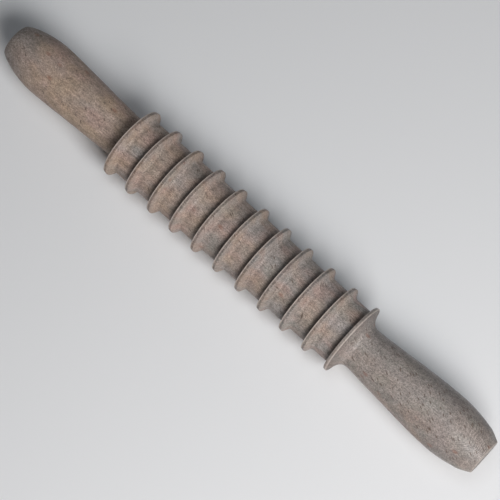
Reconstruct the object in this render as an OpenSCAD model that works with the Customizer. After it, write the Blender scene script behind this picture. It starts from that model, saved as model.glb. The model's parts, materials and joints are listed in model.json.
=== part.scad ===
// Two-handled wooden massage roller.
// Ten flanged rings turn freely on a dowel axle, held between a plain handle and
// a handle whose inner end flares into a collar of the rings' diameter.
// The axis lies along +X, the plain handle towards -X. The roller rests on the
// crests of its flanges at z = 0, with the origin under the middle of its length.

/* [Rings] */
// Distance from one ring to the next
ring_pitch = 18.82; // [17:0.01:21]
// End gap between neighbouring rings, and between the last ring and the collar
ring_gap = 0.3; // [0.2:0.05:0.5]
// Gap between the plain handle and the first ring, where the end play has gathered
end_play = 0.7; // [0.3:0.1:2]
// Radius of every flange at its crest, and of the collar
crest_r = 25.5; // [24.5:0.1:28]
// Radius of a ring's plain barrel, beside its flange
barrel_r = 20.8; // [19:0.1:21.5]
// Radius of the flange's left edge, where the flat face ends
flange_edge_r = 25.2; // [24.4:0.1:25.3]
// Distance of a flange's crest from the ring's left face
crest_offset = 2.2; // [1.8:0.1:2.6]
// Rounding of a flange's crest
crest_round = 0.9; // [0.6:0.1:1.1]
// Radius of the hollow where a flange runs down into the barrel
hollow_r = 3.2; // [2.5:0.1:3.8]
// Distance of the end of that hollow from the ring's left face
hollow_end = 7.2; // [6.8:0.1:8]

/* [Plain handle] */
// Length of the plain handle
plain_len = 100.5; // [90:0.1:115]
// Radius of its flat outer end
plain_end_r = 11.7; // [10:0.1:13]
// Its largest radius
plain_max_r = 18.6; // [17:0.1:20]
// Distance of the largest radius from the outer end
plain_max_at = 29; // [24:0.5:36]
// Radius of its inner end, beside the first ring
plain_inner_r = 15; // [14:0.1:17]

/* [Collared handle] */
// Length of the collared handle
collared_len = 110.6; // [104:0.1:125]
// Radius of the neck behind the collar
neck_r = 15.2; // [14:0.1:17]
// Distance of the neck from the collar's face
neck_at = 10.2; // [9:0.1:12]
// Its largest radius
grip_max_r = 19.6; // [18:0.1:21]
// Distance of the largest radius from the collar's face
grip_max_at = 77.7; // [72:0.1:84]
// Radius where the grip turns into the end cone
cone_start_r = 16.1; // [15:0.1:17]
// Length of the end cone
cone_len = 7.4; // [5:0.1:9]
// Radius of the flat outer end
cone_end_r = 12.7; // [11:0.1:13]

/* [Axle] */
// Radius of the dowel axle
axle_r = 8; // [6:0.1:9]
// Radial clearance between the axle and the rings' bores
bore_clearance = 0.08; // [0.03:0.01:0.1]
// Depth of the glued socket in each handle
socket_depth = 45; // [30:1:60]

/* [Edges] */
// Rounding of the edge at a ring's barrel end
ring_edge = 0.6; // [0.3:0.1:0.8]
// Rounding of the left edge of a flange and of the collar
flange_edge = 0.3; // [0.2:0.05:0.4]
// Chamfer at the mouth of a ring's bore
bore_chamfer = 0.8; // [0.4:0.1:1.2]
// Rounding of the handles' flat ends
handle_edge = 0.5; // [0.4:0.1:1.2]

/* [Hidden] */
ring_count = 10;
ring_span = end_play + ring_count * ring_pitch;
total_len = plain_len + ring_span + collared_len;
plain_x = -total_len / 2;
rings_x = plain_x + plain_len + end_play;
collared_x = plain_x + plain_len + ring_span;
ring_len = ring_pitch - ring_gap;
bore_r = axle_r + bore_clearance;
axle_chamfer = 1;
collar_crest_at = 1.7;
collar_round = 0.6;
curve_steps = 14;
arc_steps = 12;
turn_fn = 96;
beech = [0.60, 0.53, 0.48];
beech_dark = [0.52, 0.45, 0.40];

// Node name of ring i, counted from the plain handle
function ring_name(i) = str("ring_", i < 10 ? "0" : "", i);

// Points of an arc round (x, r), from angle a0 to angle a1
function arc(x, r, radius, a0, a1) = [
    for (k = [0:arc_steps])
        let (a = a0 + (a1 - a0) * k / arc_steps)
        [x + radius * cos(a), r + radius * sin(a)]
];

// Points of a cubic curve from p0 to p3, steered by p1 and p2
function cubic(p0, p1, p2, p3) = [
    for (k = [0:curve_steps])
        let (t = k / curve_steps, u = 1 - t)
        u * u * u * p0 + 3 * u * u * t * p1 + 3 * u * t * t * p2 + t * t * t * p3
];

// Normal angle of the straight side that lies on two arcs (c1, r1) and (c2, r2)
function over_angle(c1, r1, c2, r2) =
    let (d = c2 - c1)
    atan2(d[1], d[0]) + acos((r1 - r2) / norm(d));

// Normal angle of the straight side between a crest arc (c1, r1) and the
// hollow arc (c2, r2) on its other side
function cross_angle(c1, r1, c2, r2) =
    let (d = c2 - c1)
    atan2(d[1], d[0]) + acos((r1 + r2) / norm(d));

// Turns an outline, given as points [x, r], about the roller's axis
module turned(points, x) {
    translate([x, 0, crest_r])
        rotate([90, 0, 90])
            rotate_extrude($fn = turn_fn)
                polygon([for (p = points) [p[1], p[0]]]);
}

// Flat left face of a flange, its rounded edge and the low slope up to its crest arc
function flange_face(crest, radius, a_out) =
    let (
        edge = [flange_edge, flange_edge_r - flange_edge],
        a_in = over_angle(edge, flange_edge, crest, radius)
    )
    concat(
        arc(edge[0], edge[1], flange_edge, 180, a_in),
        arc(crest[0], crest[1], radius, a_in, a_out)
    );

// Outline of a loose ring, from the bore round the flange and back
function ring_outline() =
    let (
        crest = [crest_offset, crest_r - crest_round],
        hollow = [hollow_end, barrel_r + hollow_r],
        a_out = cross_angle(crest, crest_round, hollow, hollow_r),
        end = ring_len
    )
    concat(
        [[bore_chamfer, bore_r], [0, bore_r + bore_chamfer]],
        flange_face(crest, crest_round, a_out),
        arc(hollow[0], hollow[1], hollow_r, 180 + a_out, 270),
        arc(end - ring_edge, barrel_r - ring_edge, ring_edge, 90, 0),
        [[end, bore_r + bore_chamfer], [end - bore_chamfer, bore_r]]
    );

// Outline of the plain handle, from its outer end to its inner face
function plain_outline() = concat(
    [[0, 0], [0, plain_end_r - handle_edge]],
    cubic(
        [handle_edge / 2, plain_end_r],
        [5, plain_end_r + 3.3],
        [18, plain_max_r],
        [plain_max_at, plain_max_r]
    ),
    cubic(
        [plain_max_at, plain_max_r],
        [plain_max_at + 7, plain_max_r],
        [plain_max_at + 26, plain_inner_r + 2.5],
        [plain_len - ring_edge, plain_inner_r]
    ),
    [[plain_len, plain_inner_r - ring_edge], [plain_len, 0]]
);

// Outline of the collared handle, from the collar's face to its outer end
function collared_outline() =
    let (
        crest = [collar_crest_at, crest_r - collar_round],
        a_out = 12,
        cone_at = collared_len - cone_len,
        rim = [crest[0] + collar_round * cos(a_out), crest[1] + collar_round * sin(a_out)]
    )
    concat(
        [[0, 0]],
        flange_face(crest, collar_round, a_out),
        cubic(rim, [3.6, 20.2], [5.3, neck_r], [neck_at, neck_r]),
        cubic(
            [neck_at, neck_r],
            [neck_at + 10.5, neck_r + 0.1],
            [grip_max_at - 20, grip_max_r],
            [grip_max_at, grip_max_r]
        ),
        cubic(
            [grip_max_at, grip_max_r],
            [grip_max_at + 11, grip_max_r],
            [grip_max_at + 19, cone_start_r + 1.6],
            [cone_at, cone_start_r]
        ),
        [[collared_len - handle_edge / 2, cone_end_r]],
        [[collared_len, cone_end_r - handle_edge], [collared_len, 0]]
    );

// Flat-bottomed socket that the axle is glued into
module socket(x) {
    translate([x, 0, crest_r])
        rotate([0, 90, 0])
            cylinder(h = socket_depth, r = axle_r, $fn = turn_fn);
}

// Plain handle, with the axle's socket in its inner end
module left_handle() {
    color(beech)
        difference() {
            turned(plain_outline(), plain_x);
            socket(plain_x + plain_len - socket_depth);
        }
}

// Handle with the flared collar, and the axle's socket in its inner end
module right_handle() {
    color(beech)
        difference() {
            turned(collared_outline(), collared_x);
            socket(collared_x);
        }
}

// Dowel that runs through all the rings and is glued into both handles
module axle() {
    start = plain_len - socket_depth;
    length = ring_span + 2 * socket_depth;
    color(beech_dark)
        turned([
            [0, 0], [0, axle_r - axle_chamfer], [axle_chamfer, axle_r],
            [length - axle_chamfer, axle_r], [length, axle_r - axle_chamfer], [length, 0]
        ], plain_x + start);
}

// Loose ring i, counted from the plain handle
module massage_ring(i) {
    color(beech)
        turned(ring_outline(), rings_x + (i - 1) * ring_pitch);
}

left_handle();
axle();
for (i = [1:ring_count]) {
    massage_ring(i);
}
right_handle();
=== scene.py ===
"""Looks of a two-handled wooden massage roller: turned, weathered beech."""
import json
import math

import bpy
import numpy as np
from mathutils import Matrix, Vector


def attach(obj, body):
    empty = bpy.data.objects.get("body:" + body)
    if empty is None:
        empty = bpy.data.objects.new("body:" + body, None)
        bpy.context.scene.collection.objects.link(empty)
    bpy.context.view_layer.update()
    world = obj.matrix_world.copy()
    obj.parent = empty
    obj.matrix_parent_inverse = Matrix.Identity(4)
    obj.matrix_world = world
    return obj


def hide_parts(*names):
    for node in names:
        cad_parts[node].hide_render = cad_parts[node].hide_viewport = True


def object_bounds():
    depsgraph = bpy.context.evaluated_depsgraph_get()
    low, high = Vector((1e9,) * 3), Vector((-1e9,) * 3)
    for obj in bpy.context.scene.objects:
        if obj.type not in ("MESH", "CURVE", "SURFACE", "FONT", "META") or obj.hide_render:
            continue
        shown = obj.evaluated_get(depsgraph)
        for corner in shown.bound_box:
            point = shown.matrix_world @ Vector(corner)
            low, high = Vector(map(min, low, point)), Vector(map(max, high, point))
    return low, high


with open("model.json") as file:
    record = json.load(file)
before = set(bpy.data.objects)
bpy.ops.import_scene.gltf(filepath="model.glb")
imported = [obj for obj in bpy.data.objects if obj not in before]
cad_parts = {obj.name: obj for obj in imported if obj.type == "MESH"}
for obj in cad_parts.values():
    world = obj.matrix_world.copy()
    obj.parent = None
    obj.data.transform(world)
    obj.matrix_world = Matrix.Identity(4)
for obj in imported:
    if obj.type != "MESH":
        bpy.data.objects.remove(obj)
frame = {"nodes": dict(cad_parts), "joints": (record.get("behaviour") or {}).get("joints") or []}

MM = 0.001
TURN = 2 * math.pi
CAD_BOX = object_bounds()
AXIS_Z = frame["joints"][0]["pos_m"][2]
CENTRE = Vector(((CAD_BOX[0].x + CAD_BOX[1].x) / 2, 0, AXIS_Z))
LEFT_HANDLE, RIGHT_HANDLE, AXLE = "left_handle", "right_handle", "axle"
RINGS = sorted(n for n in frame["nodes"] if n.startswith("ring_"))

# ---------------------------------------------------------------- camera

CAMERA_AZIMUTH = 42.76
CAMERA_ELEVATION = 74.83
CAMERA_DISTANCE = 1.3852
LENS = 158.72
SENSOR = 36
NEAREST, FARTHEST = 0.05, 50
# How far the middle of the axis sits from the middle of the view
AIM_RIGHT, AIM_UP = -3.43 * MM, 4.01 * MM


def facing(azimuth, elevation):
    """Unit vector from the roller towards a camera or lamp at those angles, in degrees."""
    a, e = math.radians(azimuth), math.radians(elevation)
    return Vector((math.sin(a) * math.cos(e), -math.cos(a) * math.cos(e), math.sin(e)))


def aimed(name, data, location, back):
    """A camera or lamp object at location, looking against back."""
    made = bpy.data.objects.new(name, data)
    made.location = location
    made.rotation_mode = "QUATERNION"
    made.rotation_quaternion = (-back).to_track_quat("-Z", "Y")
    bpy.context.scene.collection.objects.link(made)
    return made


def make_camera():
    back = facing(CAMERA_AZIMUTH, CAMERA_ELEVATION)
    right = facing(CAMERA_AZIMUTH + 90, 0)
    up = back.cross(right)
    data = bpy.data.cameras.new("camera")
    data.lens = LENS
    data.sensor_width = SENSOR
    data.clip_start, data.clip_end = NEAREST, FARTHEST
    spot = CENTRE - right * AIM_RIGHT - up * AIM_UP + back * CAMERA_DISTANCE
    bpy.context.scene.camera = aimed("camera", data, spot, back)


make_camera()

# ---------------------------------------------------------------- light and floor

WORLD_STRENGTH = 0.01
LAMP_DISTANCE = 1.3
# Name, azimuth and elevation in degrees, size in metres, power in watts, tint
LAMPS = [
    ("key", 66, 47, 0.7, 14.1, (1, 1, 1)),
    ("side", 80, 45, 0.6, 1.2, (0.85, 1.0, 1.15)),
    ("low", 68, 25, 0.6, 1.8, (1.18, 0.97, 0.90)),
    ("top", 0, 90, 0.5, 2.2, (0.94, 1.0, 1.08)),
    ("fill", 195, 14, 0.8, 0.35, (1, 1, 1)),
]
FLOOR_SIZE = 40
FLOOR_COLOUR = (0.80, 0.80, 0.80, 1)
FLOOR_ROUGHNESS = 0.9


def soft_box(name, azimuth, elevation, size, power, tint):
    """A square lamp that looks at the middle of the roller."""
    back = facing(azimuth, elevation)
    data = bpy.data.lights.new(name, "AREA")
    data.shape = "SQUARE"
    data.size = size
    data.energy = power
    data.color = tint
    return aimed(name, data, CENTRE + back * LAMP_DISTANCE, back)


def make_world():
    world = bpy.data.worlds.new("studio")
    world.use_nodes = True
    background = world.node_tree.nodes["Background"]
    background.inputs["Color"].default_value = (1, 1, 1, 1)
    background.inputs["Strength"].default_value = WORLD_STRENGTH
    bpy.context.scene.world = world


def make_floor():
    bpy.ops.mesh.primitive_plane_add(size=FLOOR_SIZE, location=(0, 0, 0))
    floor = bpy.context.object
    floor.name = "floor"
    material = bpy.data.materials.new("floor")
    material.use_nodes = True
    shader = material.node_tree.nodes["Principled BSDF"]
    shader.inputs["Base Color"].default_value = FLOOR_COLOUR
    shader.inputs["Roughness"].default_value = FLOOR_ROUGHNESS
    floor.data.materials.append(material)


bpy.context.scene.view_settings.view_transform = "Standard"
make_world()
for lamp in LAMPS:
    soft_box(*lamp)
make_floor()

# ---------------------------------------------------------------- outlines

GRID = 0.002 * MM        # step that the CAD vertices are rounded to
TWINS = 10               # vertices closer than this many steps are one outline point
SAME_LINE = math.radians(0.35)
CORNER = math.radians(25)
FINE_STEP, COARSE_STEP = 0.4 * MM, 1.6 * MM
VISIBLE_R = 10 * MM      # the outline is fine outside this radius
SOFT_CORNER = 0.14 * MM  # how much of each side of a corner its rounding takes,
MOST_SIDE = 3            # and the part of a short side that it takes at most: one in this many
BEND_POINTS = 4
CENTRE_R = 0.3 * MM      # radius of the last facet in the middle of a flat end


def merged(rows):
    """The distinct rows, and which of them each row is, with near twins counted as one."""
    distinct, which = np.unique(rows, axis=0, return_inverse=True)
    kept, new_number = [], []
    for row in distinct:
        near = [k for k, other in enumerate(kept) if np.abs(other - row).max() < TWINS]
        new_number.append(near[0] if near else len(kept))
        if not near:
            kept.append(row)
    return np.array(kept), np.array(new_number)[which.reshape(-1)]


def cad_outline(node):
    """The outline that a CAD node is turned from, as points (x, radius) in order."""
    mesh = frame["nodes"][node].data
    co = np.empty(len(mesh.vertices) * 3)
    mesh.vertices.foreach_get("co", co)
    co = co.reshape(-1, 3)
    radius = np.hypot(co[:, 1], co[:, 2] - AXIS_Z)
    points, which = merged(np.round(np.stack([co[:, 0], radius], 1) / GRID))
    links = {i: set() for i in range(len(points))}
    for edge in mesh.edges:
        a, b = (int(which[v]) for v in edge.vertices)
        if a != b:
            links[a].add(b)
            links[b].add(a)
    ends = [i for i in links if len(links[i]) == 1]
    path = [min(ends or links, key=lambda i: (points[i][0], points[i][1]))]
    while links[path[-1]] - set(path):
        path.append(min(links[path[-1]] - set(path)))
    points = points[path] * GRID
    if not ends:
        return points
    middle = [[points[i][0], CENTRE_R] for i in (0, -1)]
    return np.concatenate([middle[:1], points, middle[1:]])


def turn_at(points):
    """How far the outline turns at each inner point, in radians; left turns are positive."""
    step = np.diff(points, axis=0)
    heading = np.arctan2(step[:, 1], step[:, 0])
    return (np.diff(heading) + math.pi) % TURN - math.pi


def without_straights(points):
    """The outline without the points that lie in the middle of a straight stretch."""
    keep = np.concatenate([[True], np.abs(turn_at(points)) > SAME_LINE, [True]])
    return points[keep]


def unit(vector):
    return vector / np.hypot(*vector)


def curve(a, b, lead_in, lead_out, step):
    """Points of a cubic curve from a up to b, which leaves and arrives along the two leads."""
    length = np.hypot(*(b - a))
    t = np.arange(max(1, math.ceil(length / step)))[:, None]
    t = t / len(t)
    return (
        a * (1 + 2 * t) * (1 - t) ** 2
        + b * t * t * (3 - 2 * t)
        + unit(lead_in) * length * t * (1 - t) ** 2
        - unit(lead_out) * length * t * t * (1 - t)
    )


def rounded_corner(before, corner, after):
    """The small bend that takes the place of a corner."""
    p, q = (
        corner + unit(side - corner) * min(SOFT_CORNER, np.hypot(*(side - corner)) / MOST_SIDE)
        for side in (before, after)
    )
    u = np.linspace(0, 1, BEND_POINTS)[:, None]
    return p * (1 - u) ** 2 + 2 * corner * u * (1 - u) + q * u * u


def smooth_outline(points):
    """The outline with smooth curves and softened corners, in fine steps where it shows."""
    points = without_straights(points)
    corner = np.concatenate([[True], np.abs(turn_at(points)) > CORNER, [True]])
    made = []
    for i in range(len(points) - 1):
        a, b = points[i], points[i + 1]
        lead_in = b - a if corner[i] else b - points[i - 1]
        lead_out = b - a if corner[i + 1] else points[i + 2] - a
        step = FINE_STEP if max(a[1], b[1]) > VISIBLE_R else COARSE_STEP
        run = curve(a, b, lead_in, lead_out, step)
        if corner[i] and i > 0:
            run = np.concatenate([rounded_corner(points[i - 1], a, b), run[1:]])
        made.append(run)
    return np.concatenate(made + [points[-1:]])


# ---------------------------------------------------------------- marks of turning and use

SEGMENTS = 256
RING_MARKED = (12 * MM, 16 * MM)       # radii between which a ring's marks fade in
HANDLE_MARKED = (9 * MM, 11 * MM)
WAVES, WAVE_DEPTH = 6, 0.09 * MM
WAVE_LENGTH = (18 * MM, 70 * MM)
MOST_ROUND = 4                         # the most waves in one turn
OVAL_DEPTH = 0.05 * MM
RING_LOSS = 0.16 * MM                  # the most that a whole ring has worn down
RIM = (-2.4 * MM, 0.6 * MM)            # the rim's ends, seen from its crest

# Bruises: how many, how deep and how wide, and how much longer than wide
RIM_BRUISES = (7, (0.06 * MM, 0.32 * MM), (0.7 * MM, 1.5 * MM))
RING_BRUISES = (6, (0.03 * MM, 0.16 * MM), (0.9 * MM, 2.2 * MM))
HANDLE_BRUISES = (38, (0.03 * MM, 0.22 * MM), (0.9 * MM, 3.2 * MM))
BRUISE_STRETCH = (0.8, 1.8)

# Wear, partly painted highlight on the edges: how far along the outline an edge's wear spreads,
# the curvature per mm where it starts, how fast it grows from there, and how much of it the
# handles have
WEAR_REACH = 0.6 * MM
WEAR_START, WEAR_GAIN = 0.3, 2.0
HANDLE_WEAR = 0.45
FACE_EDGE = (1.7 * MM, 0.9 * MM)       # where the wear of a flange's left edge ends
# Painted highlight on a ring's flank and painted shade in its hollow: amount, then the distances
# from the ring's left face between which it rises and falls again
FLANK_HIGHLIGHT = (0.13, 2.0 * MM, 3.0 * MM, 3.6 * MM, 4.8 * MM)
HOLLOW_SHADE = (0.22, 4.6 * MM, 5.8 * MM, 7.4 * MM, 9.0 * MM)
# The painted shade beside the next piece's face fades out between these distances from it
GAP_SHADE = (4.8 * MM, 0.3 * MM)


def smoothstep(low, high, value):
    t = np.clip((value - low) / (high - low), 0, 1)
    return t * t * (3 - 2 * t)


def band(value, amount, rise, risen, fall, fallen):
    """amount between risen and fall, eased to nothing at rise and at fallen."""
    return amount * smoothstep(rise, risen, value) * smoothstep(fallen, fall, value)


def curvature(outline, closed, reach):
    """Curvature of the outline at every point, averaged over reach; convex is positive."""
    loop = np.concatenate([outline[-1:], outline, outline[:1]]) if closed else outline
    turn = -turn_at(loop)
    if not closed:
        turn = np.concatenate([[0], turn, [0]])
    along = np.concatenate([[0], np.cumsum(np.hypot(*np.diff(outline, axis=0).T))])
    weight = np.exp(-0.5 * ((along[:, None] - along[None, :]) / reach) ** 2)
    return weight @ turn / (reach * math.sqrt(TURN))


def unevenness(rng, x, angle):
    """Gentle random waves round and along a piece, from 0 to 1."""
    total = np.zeros(np.broadcast(x, angle).shape)
    for _ in range(WAVES):
        around = rng.integers(1, MOST_ROUND + 1)
        along = TURN / rng.uniform(*WAVE_LENGTH)
        total += np.cos(around * angle + along * x + rng.uniform(0, TURN)) / around
    return (total - total.min()) / (total.max() - total.min())


def bruises(rng, x, radius, angle, at_x, count, depth, width):
    """Small bruises, as inward depth, scattered over the stretch at_x of a piece."""
    total = np.zeros(np.broadcast(x, angle).shape)
    for _ in range(count):
        cx, ca = rng.uniform(*at_x), rng.uniform(0, TURN)
        deep, wide = rng.uniform(*depth), rng.uniform(*width)
        across = (angle - ca + math.pi) % TURN - math.pi
        along = (x - cx) / rng.uniform(*BRUISE_STRETCH)
        away = np.hypot(along, across * radius) / wide
        total = np.maximum(total, deep * np.exp(-away ** 2))
    return total


def inward(rng, outline, angle, ring):
    """How far the worn surface lies inside the turned outline, at every point and angle."""
    x, radius = outline[:, :1], outline[:, 1:]
    outside = smoothstep(*(RING_MARKED if ring else HANDLE_MARKED), radius)
    depth = WAVE_DEPTH * unevenness(rng, x, angle)
    depth = depth + OVAL_DEPTH * (1 + np.cos(2 * angle + rng.uniform(0, TURN)))
    whole = (x.min(), x.max())
    if ring:
        depth = depth + rng.uniform(0, RING_LOSS)
        crest_x = x[np.argmax(radius), 0]
        rim = (crest_x + RIM[0], crest_x + RIM[1])
        depth = depth + bruises(rng, x, radius, angle, rim, *RIM_BRUISES)
        depth = depth + bruises(rng, x, radius, angle, whole, *RING_BRUISES)
    else:
        depth = depth + bruises(rng, x, radius, angle, whole, *HANDLE_BRUISES)
    return depth * outside


def wear_highlight_and_shade(outline, ring):
    """Wear with painted highlight, and painted shade, at every point of the outline, from 0 to 1.
    """
    wear_and_highlight = np.clip((curvature(outline, ring, WEAR_REACH) * MM - WEAR_START) * WEAR_GAIN, 0, 1)
    x = outline[:, 0]
    # painted shade on the end that lies beside the next piece
    left_of_gap = ring or x.mean() < CENTRE.x
    painted_shade = smoothstep(*GAP_SHADE, x.max() - x) if left_of_gap else np.zeros(len(x))
    if ring:
        from_face = x - x.min()
        # on a ring: edge wear near the left face, a painted highlight on the flank, painted shade
        # in the hollow
        wear_and_highlight = wear_and_highlight * smoothstep(*FACE_EDGE, from_face) + band(from_face, *FLANK_HIGHLIGHT)
        painted_shade = painted_shade + band(from_face, *HOLLOW_SHADE)
    else:
        wear_and_highlight = wear_and_highlight * HANDLE_WEAR
    return wear_and_highlight, painted_shade


def lathe(name, outline, ring, rng, material):
    """A turned piece: the outline swept round the axis, less its bruises, with wear, painted
    highlight and painted shade.
    """
    angle = np.arange(SEGMENTS)[None, :] * TURN / SEGMENTS
    rows = len(outline)
    radius = outline[:, 1:] - inward(rng, outline, angle, ring)
    co = np.empty((rows, SEGMENTS, 3))
    co[:, :, 0] = outline[:, :1]
    co[:, :, 1] = radius * np.cos(angle)
    co[:, :, 2] = radius * np.sin(angle) + AXIS_Z
    grid = np.arange(rows * SEGMENTS).reshape(rows, SEGMENTS)
    below = grid if ring else grid[:-1]
    above = np.roll(grid, -1, axis=0) if ring else grid[1:]
    quads = np.stack([below, np.roll(below, -1, axis=1), np.roll(above, -1, axis=1), above], -1)
    faces = quads.reshape(-1, 4).tolist()
    if not ring:
        faces.append(grid[0][::-1].tolist())
        faces.append(grid[-1].tolist())
    mesh = bpy.data.meshes.new(name)
    mesh.from_pydata(co.reshape(-1, 3).tolist(), [], faces)
    mesh.shade_smooth()
    for label, value in zip(("wear_and_highlight", "painted_shade"), wear_highlight_and_shade(outline, ring)):
        attribute = mesh.attributes.new(label, "FLOAT", "POINT")
        attribute.data.foreach_set("value", np.repeat(value, SEGMENTS))
    mesh.materials.append(material)
    made = bpy.data.objects.new(name, mesh)
    bpy.context.scene.collection.objects.link(made)
    return made


# ---------------------------------------------------------------- shader tree

# Places of the inputs and of the output of a mix of two colours
MIX_AMOUNT, MIX_A, MIX_B, MIX_RESULT = 0, 6, 7, 2


class Wood:
    """Builds one shader tree, with lengths in millimetres."""

    def __init__(self, name):
        self.material = bpy.data.materials.new(name)
        self.material.use_nodes = True
        self.tree = self.material.node_tree
        self.shader = self.tree.nodes["Principled BSDF"]

    def node(self, kind, inputs, **settings):
        made = self.tree.nodes.new("ShaderNode" + kind)
        for key, value in settings.items():
            setattr(made, key, value)
        for key, value in inputs.items():
            self.feed(made.inputs[key], value)
        return made

    def feed(self, socket, value):
        if isinstance(value, bpy.types.NodeSocket):
            self.tree.links.new(value, socket)
        else:
            socket.default_value = value

    def math(self, operation, a, b=0.0):
        return self.node("Math", {0: a, 1: b}, operation=operation).outputs[0]

    def times(self, a, b):
        return self.math("MULTIPLY", a, b)

    def plus(self, a, b):
        return self.math("ADD", a, b)

    def length(self, a, b):
        return self.math("SQRT", self.plus(self.times(a, a), self.times(b, b)))

    def vector(self, x, y, z):
        return self.node("CombineXYZ", {0: x, 1: y, 2: z}).outputs[0]

    def parts(self, vector):
        return self.node("SeparateXYZ", {0: vector}).outputs

    def scaled(self, vector, factors, shift=(0, 0, 0)):
        """The vector times factors, plus shift."""
        inputs = {0: vector, 1: factors, 2: shift}
        return self.node("VectorMath", inputs, operation="MULTIPLY_ADD").outputs[0]

    def along(self, vector, direction):
        inputs = {0: vector, 1: direction}
        return self.node("VectorMath", inputs, operation="DOT_PRODUCT").outputs["Value"]

    def noise(self, vector, detail, roughness):
        inputs = {"Vector": vector, "Scale": 1.0, "Detail": detail, "Roughness": roughness}
        return self.node("TexNoise", inputs).outputs["Fac"]

    def specks(self, vector, core, rim, rare, common):
        """Specks that fade out from core to rim. Each cell has a random value of its own: below
        rare it has no speck, and past common a full one."""
        cells = self.node("TexVoronoi", {"Vector": vector, "Scale": 1.0})
        chance = self.node("SeparateColor", {0: cells.outputs["Color"]}).outputs[0]
        near = self.step(cells.outputs["Distance"], core, rim, 1.0, 0.0)
        return self.times(near, self.step(chance, rare, common))

    def step(self, value, low, high, to_low=0.0, to_high=1.0):
        """value eased from to_low at low to to_high at high."""
        inputs = {
            "Value": value, "From Min": low, "From Max": high, "To Min": to_low, "To Max": to_high,
        }
        return self.node("MapRange", inputs, interpolation_type="SMOOTHSTEP").outputs["Result"]

    def mix(self, amount, a, b):
        inputs = {MIX_AMOUNT: amount, MIX_A: a, MIX_B: b}
        return self.node("Mix", inputs, data_type="RGBA").outputs[MIX_RESULT]

    def shade(self, colour, amount):
        """colour times amount, a number for each point."""
        return self.node("VectorMath", {0: colour, "Scale": amount}, operation="SCALE").outputs[0]

    def attribute(self, name):
        return self.node("Attribute", {}, attribute_name=name).outputs["Fac"]


# ---------------------------------------------------------------- beech

# Base colours, linear
GREY = (0.310, 0.276, 0.254, 1)
WARM = (0.372, 0.280, 0.228, 1)
PINK = (0.390, 0.268, 0.228, 1)
TAN = (0.385, 0.284, 0.206, 1)
LICHEN = (0.282, 0.268, 0.232, 1)
ASH = (0.305, 0.262, 0.248, 1)
FLECK = (0.120, 0.085, 0.066, 1)
RUST = (0.230, 0.095, 0.060, 1)
# worn wood, made bright enough to serve also as painted highlight on arrises and flanks
WORN_AND_HIGHLIGHT = (0.760, 0.650, 0.570, 1)
# colour of the painted shade beside the next piece and in the hollows
PAINTED_SHADE_COLOUR = (0.095, 0.074, 0.060, 1)

DRIFT = (37.0, 11.0, 23.0)    # how far one seed moves the noise, in its own units
# Noise fields: scale along the grain and across it, in 1/mm, detail, roughness, and the
# order in which the three drifts are used
FIELDS = {
    "wander": (0.022, 0.06, 2.0, 0.5, (0, 1, 2)),
    "fibre": (0.16, 1.9, 3.0, 0.6, (0, 1, 2)),
    "fuzz": (0.50, 0.66, 4.0, 0.7, (0, 1, 2)),
    "coarse": (0.035, 0.55, 2.0, 0.5, (0, 1, 2)),
    "patch": (0.035, 0.06, 1.0, 0.5, (0, 1, 2)),
    "pinkish": (0.055, 0.085, 1.5, 0.5, (2, 1, 0)),
    "tan": (0.05, 0.075, 1.0, 0.5, (1, 2, 0)),
    "green": (0.06, 0.09, 1.0, 0.5, (2, 0, 1)),
    "tone": (0.16, 0.30, 4.0, 0.65, (0, 1, 2)),
    "grain": (1.1, 1.5, 1.0, 0.5, (0, 1, 2)),
    "rubbing": (0.5, 0.35, 3.0, 0.6, (0, 1, 2)),
}
# How each field lightens and darkens the wood: half its range round 0.5, and the change
SHADES = [
    ("tone", 0.25, 0.16), ("fuzz", 0.20, 0.16), ("fibre", 0.22, 0.10),
    ("coarse", 0.25, 0.04), ("grain", 0.25, 0.30), ("growth", 0.20, 0.03),
]
# Tints over the wood: field, where it starts and is full, its share at no warmth, what warmth
# adds to that, whether it is a brown, and its colour
TINTS = [
    ("pinkish", 0.42, 0.70, 0.65, 0.0, True, PINK),
    ("tan", 0.42, 0.70, 0.30, 0.4, True, TAN),
    ("green", 0.52, 0.72, 0.45, -0.2, False, LICHEN),
    ("green", 0.46, 0.28, 0.45, -0.2, False, ASH),
]
WARM_AT, WARM_SHIFT = (0.58, 0.90), 0.4    # field values where the warm wood starts and is full
BROWN_LEFT = 0.15                          # share of the browns away from brown_side

PITH_WANDER = 5.0             # mm that the growth rings wander
LINE_WANDER = 40.0            # mm that the ends of the growth lines wander
LEAST_ROUND = 22.0            # smallest radius for lengths round the pith, in mm
LATE_WOOD = (0.35, 0.88)      # part of a year in which its line darkens
LINE_END = (0.90, 1.00)       # and in which it ends
GROWTH_SCALE = (0.01, 0.16)   # slow change from year to year, along the pith and away from it
GROWTH_DETAIL, GROWTH_ROUGHNESS = 1.0, 0.5
NO_END = (-300, -299)         # growth lines that show all along, in mm along X

# Specks: cell scale in 1/mm, core, rim, and the random values where they are rare and common
RAY_SCALE = (0.42, 1.1, 0.11)
RAY = (0.08, 0.36, 0.35, 0.80)
MARK_LONG, MARK_ACROSS, MARK_DEEP = (0.17, 0.15), (-0.34, 0.95), 0.04
MARK = (0.10, 0.36)
MARK_CHANCE, MARK_SPOTS = (0.92, 0.98), 0.4
RUST_SCALE = (0.07, 0.12, 0.12)
RUST_SPECK = (0.05, 0.22, 0.55, 0.60)
RAY_SHARE, MARK_SHARE, RUST_SHARE = 0.5, 0.95, 0.5

END_GRAIN, END_SHADE = (0.45, 0.95), 0.84      # how far a face turns along X, and its shade
SHADED_RIM_R, RIM_PAINTED_SHADE = (22.5, 25.0), 0.84          # radii where painted shade darkens the rims, in mm
RUBBED, RUBBED_LEAST = (0.30, 0.62), 0.65
# how strongly the wear with its painted highlight lightens the wood
WEAR_AND_HIGHLIGHT_SHARE = 0.95
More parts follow.
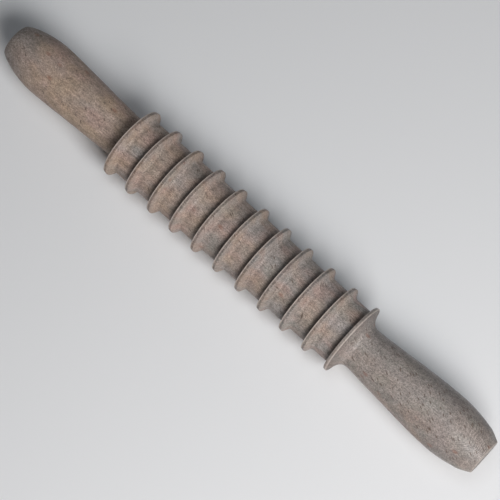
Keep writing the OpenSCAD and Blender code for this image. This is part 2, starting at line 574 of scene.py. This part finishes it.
# how strongly the painted shade darkens the wood, patchy with the tone
PAINTED_SHADE_SHARE, PAINTED_SHADE_TONE, PAINTED_SHADE_LEAST = 0.75, (0.30, 0.70), 0.7

TONE_RANGE = (0.25, 0.75)
ROUGH_DARK, ROUGH_LIGHT = 0.72, 0.60           # roughness of dark and light wood, less its polish
ROUGH_FIBRE, ROUGH_END, ROUGH_WEAR = 0.10, 0.10, -0.12
SPECULAR = 0.3
TOOL_SCALE, TOOL_DETAIL, TOOL_ROUGHNESS = (1.1, 0.01), 2.0, 0.6
RELIEF = {"fibre": 0.045, "ray": -0.030, "mark": -0.060, "late": 0.020, "tool": 0.060}    # in mm
BUMP = 0.9


def growth(w, at, wander, pith_angle, pith_away, taper):
    """Place in the piece as seen from its pith: along it, away from it and round it, in mm."""
    pith = (math.cos(pith_angle) * pith_away, math.sin(pith_angle) * pith_away)
    x, y, z = w.parts(w.scaled(at, (1, 1, 1), (0, -pith[0], -pith[1])))
    away = w.plus(w.length(y, z), w.times(wander, PITH_WANDER))
    around = w.times(w.math("ARCTAN2", z, y), max(pith_away, LEAST_ROUND))
    return x, w.plus(away, w.times(x, taper)), around


def slanted(w, x, around, away):
    """Cells that lie across the grain at a slant, for the dark marks."""
    long = w.plus(w.times(x, MARK_LONG[0]), w.times(around, MARK_LONG[1]))
    across = w.plus(w.times(around, MARK_ACROSS[1]), w.times(x, MARK_ACROSS[0]))
    return w.vector(long, across, w.times(away, MARK_DEEP))


def weathered(w, at, fields, warmth, brown_side):
    """Colour of the weathered wood, before its flecks, light and dark."""
    brown = 1.0
    if brown_side:
        direction, low, high = brown_side
        brown = w.step(w.along(at, direction), low, high, BROWN_LEFT, 1.0)
    start, full = (value - WARM_SHIFT * warmth for value in WARM_AT)
    colour = w.mix(w.times(w.step(fields["patch"], start, full), brown), GREY, WARM)
    for field, start, full, share, by_warmth, is_brown, tint in TINTS:
        amount = w.step(fields[field], start, full, 0.0, share + by_warmth * warmth)
        colour = w.mix(w.times(amount, brown) if is_brown else amount, colour, tint)
    return colour


def beech(name, seed, pith_angle, pith_away, year_width, taper, year_line, warmth, value, spots,
          polish, brown_side=None, painted_shade_sides=(), line_at=NO_END):
    """Weathered beech. The pith runs along X at pith_away mm from the axis, and taper says how
    fast the growth rings widen along X and year_line how dark their lines are; warmth runs from
    grey to pinkish brown, value scales the brightness, spots the number of dark marks and polish
    the smoothness. Where brown_side is (direction, low, high), the brown fades in between those
    two places, in mm, along that direction. Each of painted_shade_sides is (direction, low, high,
    deepest): painted shade darkens the wood to deepest between them. The growth lines fade in
    between the two places along X in line_at, in mm."""
    w = Wood(name)
    place = w.node("TexCoord", {})
    at = w.scaled(place.outputs["Object"], (1 / MM,) * 3, (0, 0, -AXIS_Z / MM))
    drift = tuple(seed * one for one in DRIFT)
    fields = {}
    for label, (lengthways, across, detail, roughness, order) in FIELDS.items():
        shift = tuple(drift[k] for k in order)
        where = w.scaled(at, (lengthways, across, across), shift)
        fields[label] = w.noise(where, detail, roughness)

    # growth rings: a thin dark line where each year ends
    x, away, around = growth(w, at, fields["wander"], pith_angle, pith_away, taper)
    year = w.math("FRACT", w.times(away, 1 / year_width))
    late = w.times(w.step(year, *LATE_WOOD), w.step(year, *LINE_END, 1.0, 0.0))
    line_x = w.plus(x, w.times(fields["wander"], LINE_WANDER))
    line = w.times(late, w.times(w.step(line_x, *line_at), year_line))
    slow = w.vector(w.times(x, GROWTH_SCALE[0]), w.times(away, GROWTH_SCALE[1]), drift[0])
    fields["growth"] = w.noise(slow, GROWTH_DETAIL, GROWTH_ROUGHNESS)

    # rays, thin plates towards the pith that show as short spindles, and slanted dark marks
    ray_at = w.vector(*(w.times(a, s) for a, s in zip((x, around, away), RAY_SCALE)))
    ray = w.specks(ray_at, *RAY)
    rare, common = (chance - MARK_SPOTS * spots for chance in MARK_CHANCE)
    mark = w.specks(slanted(w, x, around, away), *MARK, rare, common)

    # weathered colour, light and dark, flecks and rust
    colour = weathered(w, at, fields, warmth, brown_side)
    light = 1.0
    for field, half, change in SHADES:
        by_field = w.step(fields[field], 0.5 - half, 0.5 + half, 1 - change, 1 + change)
        light = w.times(light, by_field)
    light = w.times(light, w.math("SUBTRACT", 1.0, line))
    # painted shade towards the sides of the handles
    for direction, low, high, deepest in painted_shade_sides:
        light = w.times(light, w.step(w.along(at, direction), low, high, 1.0, deepest))
    colour = w.shade(colour, w.times(light, value))
    colour = w.mix(w.times(ray, RAY_SHARE), colour, FLECK)
    colour = w.mix(w.times(mark, MARK_SHARE), colour, FLECK)
    rust = w.specks(w.scaled(at, RUST_SCALE, drift), *RUST_SPECK)
    colour = w.mix(w.times(rust, RUST_SHARE), colour, RUST)

    # end grain drinks more dirt, and painted shade darkens the rims
    end = w.step(w.math("ABSOLUTE", w.parts(place.outputs["Normal"])[0]), *END_GRAIN)
    colour = w.shade(colour, w.step(end, 0.0, 1.0, 1.0, END_SHADE))
    _, sideways, upward = w.parts(at)
    colour = w.shade(colour, w.step(w.length(sideways, upward), *SHADED_RIM_R, 1.0, RIM_PAINTED_SHADE))

    # rubbed edges with painted highlight, and painted shade beside the next piece and in the
    # hollows
    wear_and_highlight = w.times(w.attribute("wear_and_highlight"), w.step(fields["rubbing"], *RUBBED, RUBBED_LEAST, 1.0))
    colour = w.mix(w.times(wear_and_highlight, WEAR_AND_HIGHLIGHT_SHARE), colour, WORN_AND_HIGHLIGHT)
    patchy = w.step(fields["tone"], *PAINTED_SHADE_TONE, 1.0, PAINTED_SHADE_LEAST)
    painted_shade = w.times(w.attribute("painted_shade"), patchy)
    colour = w.mix(w.times(painted_shade, PAINTED_SHADE_SHARE), colour, PAINTED_SHADE_COLOUR)
    w.feed(w.shader.inputs["Base Color"], colour)

    rough = w.step(fields["tone"], *TONE_RANGE, ROUGH_DARK - polish, ROUGH_LIGHT - polish)
    for part, amount in ((fields["fibre"], ROUGH_FIBRE), (end, ROUGH_END), (wear_and_highlight, ROUGH_WEAR)):
        rough = w.plus(rough, w.times(part, amount))
    w.feed(w.shader.inputs["Roughness"], rough)
    w.feed(w.shader.inputs["Specular IOR Level"], SPECULAR)

    # relief: fibres, rays, marks, growth rings and faint tool marks
    tool_at = w.vector(w.times(x, TOOL_SCALE[0]), w.times(around, TOOL_SCALE[1]), 0.0)
    tool = w.noise(tool_at, TOOL_DETAIL, TOOL_ROUGHNESS)
    relief = {"fibre": fields["fibre"], "ray": ray, "mark": mark, "late": late, "tool": tool}
    height = 0.0
    for label, part in relief.items():
        height = w.plus(height, w.times(part, RELIEF[label]))
    bump = w.node("Bump", {"Height": height, "Distance": MM, "Strength": BUMP})
    w.feed(w.shader.inputs["Normal"], bump.outputs["Normal"])
    return w.material


# ---------------------------------------------------------------- pieces

HANDLE_LOOKS = {
    LEFT_HANDLE: {
        "pith_angle": 4.2, "pith_away": 30.0, "year_width": 1.3, "taper": 0.05, "year_line": 0.1,
        "warmth": 1.35, "value": 1.04, "spots": 0.1, "polish": 0.16,
        "brown_side": ((1, 0, 0), -200, -160),
        # painted shade towards the +Y side
        "painted_shade_sides": [((0, 1, 0), 2, 16, 0.85)],
    },
    RIGHT_HANDLE: {
        "pith_angle": 4.6, "pith_away": 33.0, "year_width": 0.75, "taper": -0.22, "year_line": 0.3,
        "warmth": 0.55, "value": 0.95, "spots": 1.0, "polish": 0.34,
        "brown_side": ((0, -1, 0), 8, 25),
        # painted shade towards both sides
        "painted_shade_sides": [((0, -1, 0), 8, 25, 0.7), ((0, 1, 0), 2, 16, 0.68)],
        "line_at": (188, 214),
    },
}
AXLE_LOOKS = {
    "pith_angle": 1.0, "pith_away": 14.0, "year_width": 1.2, "taper": 0.0, "year_line": 0.12,
    "warmth": 0.9, "value": 1.15, "spots": 0.0, "polish": 0.1,
}
AXLE_SEED = 20           # the other pieces' wood is seeded 1, 2, 3 and on
FIRST_SEED = 100         # of the marks of use; each next piece has the next seed
GREYER = 0.075           # warmth that each ring loses to the one on its left


def ring_looks(rng, number):
    """Random looks of ring number, which grow greyer from the plain handle to the collar."""
    return {
        "pith_angle": rng.uniform(0, TURN),
        "pith_away": rng.uniform(16, 42),
        "year_width": rng.uniform(0.9, 1.5),
        "taper": rng.uniform(-0.1, 0.1),
        "year_line": 0.12,
        "warmth": rng.uniform(0.85, 1.0) - GREYER * number,
        "value": rng.uniform(1.03, 1.10),
        "spots": rng.uniform(0.1, 0.4),
        "polish": 0.19,
    }


for number, node in enumerate([LEFT_HANDLE, *RINGS, RIGHT_HANDLE]):
    ring = node in RINGS
    rng = np.random.default_rng(FIRST_SEED + number)
    looks = ring_looks(rng, number) if ring else HANDLE_LOOKS[node]
    outline = smooth_outline(cad_outline(node))
    wood = beech("beech_" + node, number + 1, **looks)
    piece = lathe("turned_" + node, outline, ring, rng, wood)
    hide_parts(node)
    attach(piece, node if ring else "handles")
frame["nodes"][AXLE].data.materials.clear()
frame["nodes"][AXLE].data.materials.append(beech("beech_axle", AXLE_SEED, **AXLE_LOOKS))
